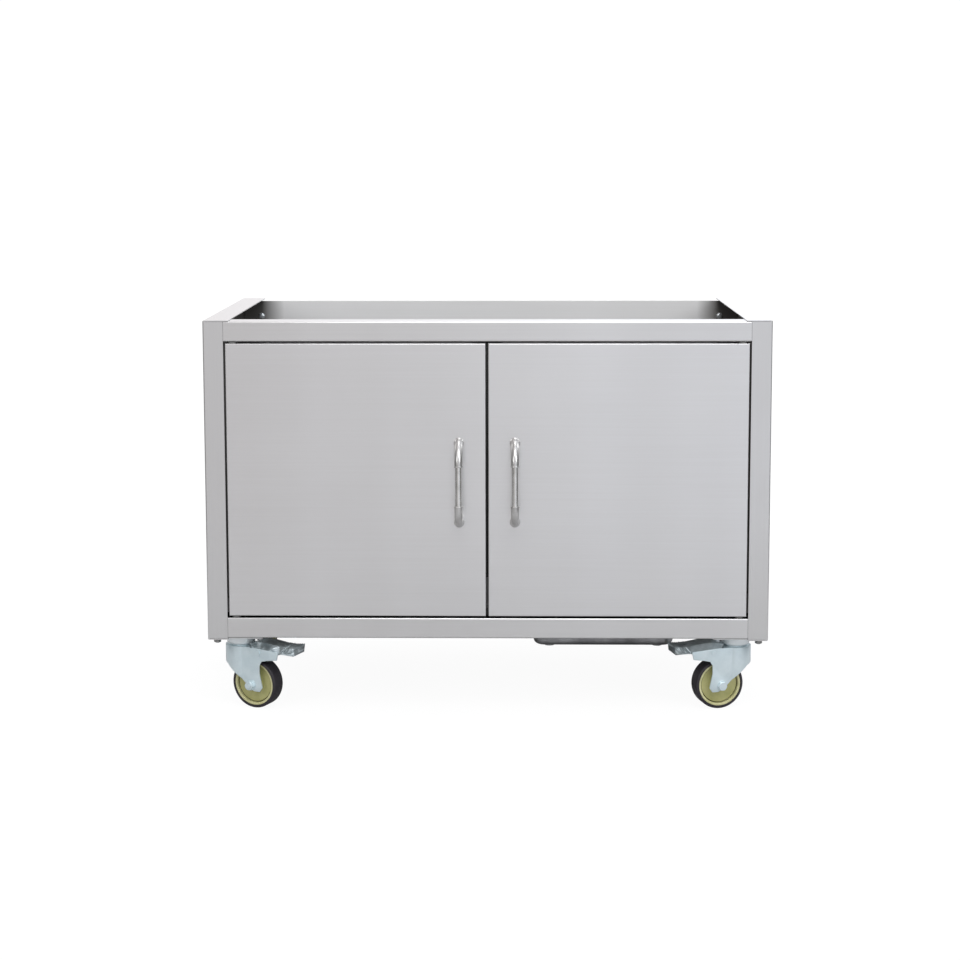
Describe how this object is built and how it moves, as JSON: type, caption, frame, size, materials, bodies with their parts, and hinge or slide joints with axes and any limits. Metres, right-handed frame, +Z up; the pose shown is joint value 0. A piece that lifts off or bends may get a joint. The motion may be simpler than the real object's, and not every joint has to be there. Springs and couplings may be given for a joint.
{
  "type": "grill base cabinet",
  "caption": "Folded stainless steel cabinet that carries a built-in grill, with an open top, hinged doors with bar handles, a pan for a gas cylinder and braked swivel casters.",
  "frame": {"origin": "on the floor under the middle of the box that holds the whole cabinet with its doors shut", "axes": "+X to the right along the doors, +Y to the back, +Z up"},
  "size_m": [0.89, 0.5014, 0.629],
  "materials": {
    "stainless": "brushed",
    "stainless_inner": "mill",
    "pressed_steel": "satin",
    "zinc": "zinc plated",
    "nylon": "matte",
    "tyre": "matte",
    "hub": "satin"
  },
  "bodies": {
    "cabinet": {"left_side_panel": "stainless", "right_side_panel": "stainless", "back_panel": "stainless", "floor_panel": "stainless_inner", "front_top_rail": "stainless", "front_bottom_rail": "stainless", "tank_pan": "pressed_steel", "pan_screws": "zinc", "back_panel_bolts": "zinc", "back_panel_nuts": "zinc", "floor_bolts": "zinc", "floor_flange_nuts": "zinc", "hinge_bushes": "nylon", "catch_housings": "nylon", "catch_magnets": "pressed_steel", "caster_plate_bolts": "zinc", "caster_plate_nuts": "zinc", "caster_kingpins": "zinc", "front_left_caster_plate": "zinc", "front_right_caster_plate": "zinc", "rear_left_caster_plate": "zinc", "rear_right_caster_plate": "zinc"},
    "left_door": {"left_door_skin": "stainless", "left_door_liner": "stainless_inner", "left_door_pivots": "zinc", "left_door_strikes": "zinc", "left_handle_rod": "stainless", "left_handle_ends": "stainless", "left_handle_screws": "zinc"},
    "right_door": {"right_door_skin": "stainless", "right_door_liner": "stainless_inner", "right_door_pivots": "zinc", "right_door_strikes": "zinc", "right_handle_rod": "stainless", "right_handle_ends": "stainless", "right_handle_screws": "zinc"},
    "front_left_caster": {"front_left_fork": "zinc", "front_left_axle": "zinc", "front_left_pedal_pin": "zinc"},
    "front_left_wheel": {"front_left_hub": "hub", "front_left_tyre": "tyre"},
    "front_left_pedal": {"front_left_brake_pedal": "pressed_steel"},
    "front_right_caster": {"front_right_fork": "zinc", "front_right_axle": "zinc", "front_right_pedal_pin": "zinc"},
    "front_right_wheel": {"front_right_hub": "hub", "front_right_tyre": "tyre"},
    "front_right_pedal": {"front_right_brake_pedal": "pressed_steel"},
    "rear_left_caster": {"rear_left_fork": "zinc", "rear_left_axle": "zinc", "rear_left_pedal_pin": "zinc"},
    "rear_left_wheel": {"rear_left_hub": "hub", "rear_left_tyre": "tyre"},
    "rear_left_pedal": {"rear_left_brake_pedal": "pressed_steel"},
    "rear_right_caster": {"rear_right_fork": "zinc", "rear_right_axle": "zinc", "rear_right_pedal_pin": "zinc"},
    "rear_right_wheel": {"rear_right_hub": "hub", "rear_right_tyre": "tyre"},
    "rear_right_pedal": {"rear_right_brake_pedal": "pressed_steel"}
  },
  "joints": [
    {"name": "left_door_hinge", "type": "hinge", "parent": "cabinet", "child": "left_door", "pos_m": [-0.3992, -0.1988, 0.3755], "axis": [0, 0, -1], "range_deg": [0, 110]},
    {"name": "right_door_hinge", "type": "hinge", "parent": "cabinet", "child": "right_door", "pos_m": [0.3992, -0.1988, 0.3755], "axis": [0, 0, 1], "range_deg": [0, 110]},
    {"name": "front_left_swivel", "type": "hinge", "parent": "cabinet", "child": "front_left_caster", "pos_m": [-0.399, -0.1558, 0.101], "axis": [0, 0, 1], "continuous": true},
    {"name": "front_left_wheel_spin", "type": "hinge", "parent": "front_left_caster", "child": "front_left_wheel", "pos_m": [-0.37114, -0.1682, 0.04], "axis": [0.4067, 0.9135, 0], "continuous": true},
    {"name": "front_left_brake", "type": "hinge", "parent": "front_left_caster", "child": "front_left_pedal", "pos_m": [-0.3588, -0.1737, 0.0935], "axis": [0.4067, 0.9135, 0], "range_deg": [0, 12]},
    {"name": "front_right_swivel", "type": "hinge", "parent": "cabinet", "child": "front_right_caster", "pos_m": [0.399, -0.1558, 0.101], "axis": [0, 0, 1], "continuous": true},
    {"name": "front_right_wheel_spin", "type": "hinge", "parent": "front_right_caster", "child": "front_right_wheel", "pos_m": [0.36954, -0.16369, 0.04], "axis": [0.2588, -0.9659, 0], "continuous": true},
    {"name": "front_right_brake", "type": "hinge", "parent": "front_right_caster", "child": "front_right_pedal", "pos_m": [0.3565, -0.16719, 0.0935], "axis": [0.2588, -0.9659, 0], "range_deg": [0, 12]},
    {"name": "rear_left_swivel", "type": "hinge", "parent": "cabinet", "child": "rear_left_caster", "pos_m": [-0.399, 0.1942, 0.101], "axis": [0, 0, 1], "continuous": true},
    {"name": "rear_left_wheel_spin", "type": "hinge", "parent": "rear_left_caster", "child": "rear_left_wheel", "pos_m": [-0.399, 0.1637, 0.04], "axis": [1, 0, 0], "continuous": true},
    {"name": "rear_left_brake", "type": "hinge", "parent": "rear_left_caster", "child": "rear_left_pedal", "pos_m": [-0.399, 0.1502, 0.0935], "axis": [1, 0, 0], "range_deg": [0, 12]},
    {"name": "rear_right_swivel", "type": "hinge", "parent": "cabinet", "child": "rear_right_caster", "pos_m": [0.399, 0.1942, 0.101], "axis": [0, 0, 1], "continuous": true},
    {"name": "rear_right_wheel_spin", "type": "hinge", "parent": "rear_right_caster", "child": "rear_right_wheel", "pos_m": [0.399, 0.1637, 0.04], "axis": [1, 0, 0], "continuous": true},
    {"name": "rear_right_brake", "type": "hinge", "parent": "rear_right_caster", "child": "rear_right_pedal", "pos_m": [0.399, 0.1502, 0.0935], "axis": [1, 0, 0], "range_deg": [0, 12]}
  ]
}
